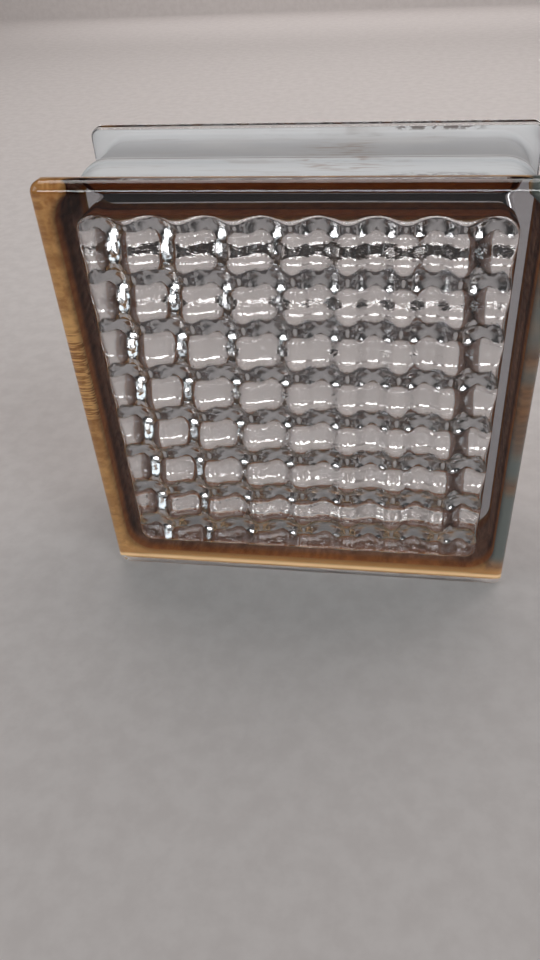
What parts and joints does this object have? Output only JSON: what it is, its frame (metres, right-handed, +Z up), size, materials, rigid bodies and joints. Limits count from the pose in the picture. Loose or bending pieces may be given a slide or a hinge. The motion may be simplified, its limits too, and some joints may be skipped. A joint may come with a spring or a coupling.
{
  "type": "glass block",
  "caption": "Square hollow glass block with waves both ways pressed inside its faces, for laying in mortar as a light-passing wall.",
  "frame": {"origin": "on the floor below the middle of the block, standing on the lower lands of its two rims", "axes": "+X to the right across the front face, +Y in through the front face to the back face, +Z up"},
  "size_m": [0.19, 0.08, 0.19],
  "materials": {
    "clear_glass": "clear, fire polished",
    "brown_tint": "brown lacquer, seen through the glass",
    "white_coat": "matt white, scuffed"
  },
  "bodies": {
    "root": {"front_glass_half": "clear_glass", "back_glass_half": "clear_glass", "brown_tint_coat": "brown_tint", "white_edge_coat": "white_coat"}
  },
  "joints": []
}
